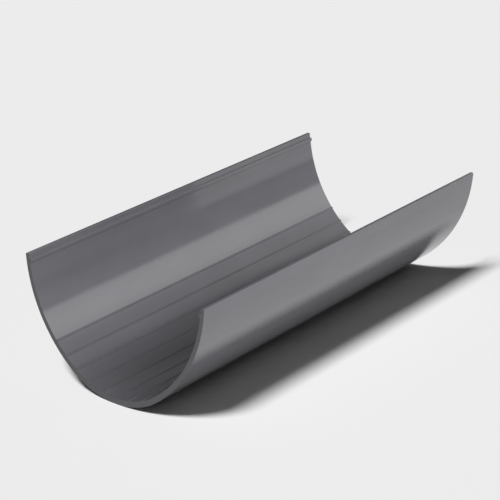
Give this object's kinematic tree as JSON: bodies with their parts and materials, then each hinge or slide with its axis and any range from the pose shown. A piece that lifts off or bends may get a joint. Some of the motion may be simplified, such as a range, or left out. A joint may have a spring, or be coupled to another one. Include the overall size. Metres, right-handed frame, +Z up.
{
  "type": "gutter section",
  "caption": "Short cut length of deep half-round rain gutter with level rims, a snap bead inside each rim and fine ridges along the floor.",
  "frame": {"origin": "middle of the length, on the lowest line of the round bottom, midway between the rims", "axes": "+Z up out of the open top, Y along the gutter, X across it"},
  "size_m": [0.125, 0.259, 0.0725],
  "materials": {
    "rigid_pvc": "smooth satin graphite grey, coloured through"
  },
  "bodies": {
    "root": {"gutter_section": "rigid_pvc"}
  },
  "joints": []
}
